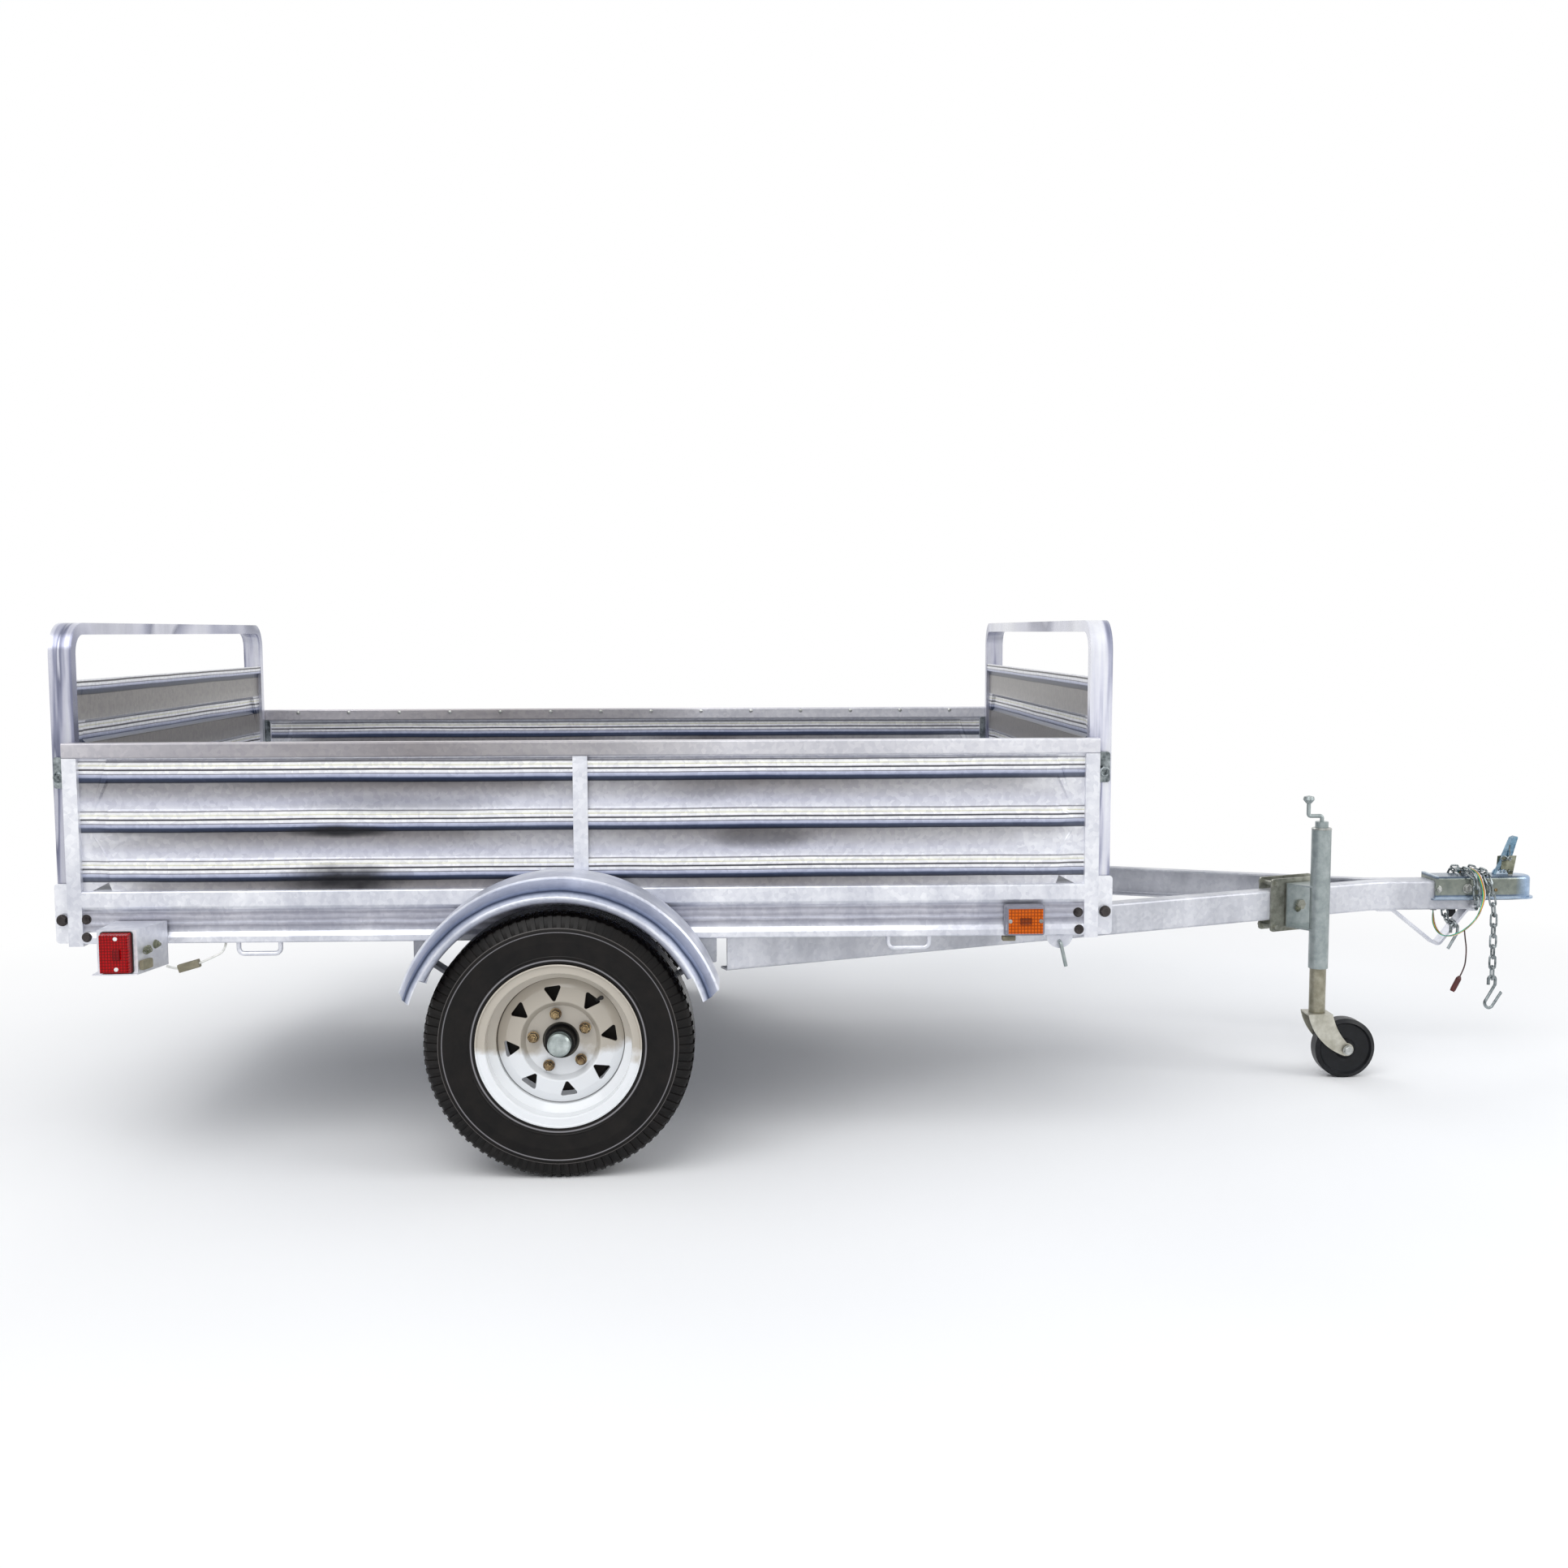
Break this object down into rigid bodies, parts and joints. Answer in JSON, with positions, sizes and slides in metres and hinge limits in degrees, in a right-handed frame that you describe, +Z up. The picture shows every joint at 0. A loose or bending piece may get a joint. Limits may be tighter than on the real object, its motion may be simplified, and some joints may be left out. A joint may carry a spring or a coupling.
{
  "type": "single-axle utility trailer",
  "caption": "Galvanised utility trailer with ribbed sides, folding hoop gates, A-frame tongue, ball coupler and swivel jack.",
  "frame": {"origin": "on the ground, midway along the whole length and width", "axes": "+X towards the coupler, +Y to the trailer's left, +Z up"},
  "size_m": [3.547, 1.921, 1.141],
  "materials": {
    "galvanised": "hot-dip galvanised, bright, faintly spangled",
    "zinc_plate": "blue-bright zinc plate",
    "tyre": "black tyre rubber",
    "white_paint": "gloss white enamel",
    "red_lens": "moulded red acrylic",
    "amber_lens": "moulded amber acrylic",
    "black_rubber": "black rubber gasket",
    "black_plastic": "black nylon",
    "cable_sheath": "PVC insulation",
    "dark_steel": "galvanised steel, dull"
  },
  "bodies": {
    "trailer": {"axle": "dark_steel", "axle_clamps": "dark_steel", "chain_hooks": "zinc_plate", "corner_posts": "galvanised", "coupler": "zinc_plate", "coupler_latch": "zinc_plate", "cross_members": "galvanised", "end_rail_front": "galvanised", "end_rail_rear": "galvanised", "fender_left": "galvanised", "fender_right": "galvanised", "fender_stays": "galvanised", "floor_sheet": "galvanised", "gate_hinges": "galvanised", "gate_latches": "zinc_plate", "harness_grommet": "black_rubber", "harness_plug": "black_plastic", "jack_clamp": "zinc_plate", "lamp_connectors": "black_plastic", "lamp_leads": "cable_sheath", "leaf_spring_left": "dark_steel", "leaf_spring_right": "dark_steel", "mid_stakes": "galvanised", "pin_tabs": "galvanised", "rope_hooks": "galvanised", "safety_chains": "zinc_plate", "side_markers": "amber_lens", "side_markers_gaskets": "black_rubber", "side_panel_left": "galvanised", "side_panel_right": "galvanised", "side_rail_left": "galvanised", "side_rail_right": "galvanised", "spring_hangers": "galvanised", "tab_pins": "zinc_plate", "tail_lamp_brackets": "galvanised", "tail_lamps": "red_lens", "tail_lamps_gaskets": "black_rubber", "tongue_beam_left": "galvanised", "tongue_beam_right": "galvanised", "tongue_skid": "galvanised", "top_rail_left": "galvanised", "top_rail_right": "galvanised", "wiring_harness": "cable_sheath", "wiring_lead": "cable_sheath", "wiring_plug": "black_plastic"},
    "wheel_left": {"hub_left": "zinc_plate", "rim_left": "white_paint", "tyre_left": "tyre"},
    "wheel_right": {"hub_right": "zinc_plate", "rim_right": "white_paint", "tyre_right": "tyre"},
    "rear_gate": {"rear_gate_hoop": "galvanised", "rear_gate_panel": "galvanised"},
    "front_gate": {"front_gate_hoop": "galvanised", "front_gate_panel": "galvanised"},
    "jack": {"jack_crank": "zinc_plate", "jack_tube": "zinc_plate"},
    "jack_leg": {"jack_leg": "zinc_plate"},
    "caster_fork": {"caster_fork": "zinc_plate"},
    "caster_wheel": {"caster_wheel": "black_plastic"}
  },
  "joints": [
    {"name": "left_wheel_spin", "type": "hinge", "parent": "trailer", "child": "wheel_left", "pos_m": [-0.6935, 0.87, 0.278], "axis": [0, 1, 0], "continuous": true},
    {"name": "right_wheel_spin", "type": "hinge", "parent": "trailer", "child": "wheel_right", "pos_m": [-0.6935, -0.87, 0.278], "axis": [0, 1, 0], "continuous": true},
    {"name": "rear_gate_hinge", "type": "hinge", "parent": "trailer", "child": "rear_gate", "pos_m": [-1.7565, 0, 0.513], "axis": [0, -1, 0], "range_deg": [0, 140]},
    {"name": "front_gate_hinge", "type": "hinge", "parent": "trailer", "child": "front_gate", "pos_m": [0.4695, 0, 0.513], "axis": [0, 1, 0], "range_deg": [0, 90]},
    {"name": "jack_swivel", "type": "hinge", "parent": "trailer", "child": "jack", "pos_m": [1.1285, -0.21974, 0.427], "axis": [0.3775, -0.926, 0], "range_deg": [0, 90]},
    {"name": "jack_slide", "type": "slide", "parent": "jack", "child": "jack_leg", "axis": [0, 0, 1], "range_m": [-0.14, 0.1]},
    {"name": "caster_swivel", "type": "hinge", "parent": "jack_leg", "child": "caster_fork", "pos_m": [1.1285, -0.21974, 0.165], "axis": [0, 0, 1], "continuous": true},
    {"name": "caster_wheel_spin", "type": "hinge", "parent": "caster_fork", "child": "caster_wheel", "pos_m": [1.1965, -0.21974, 0.075], "axis": [0, 1, 0], "continuous": true}
  ]
}
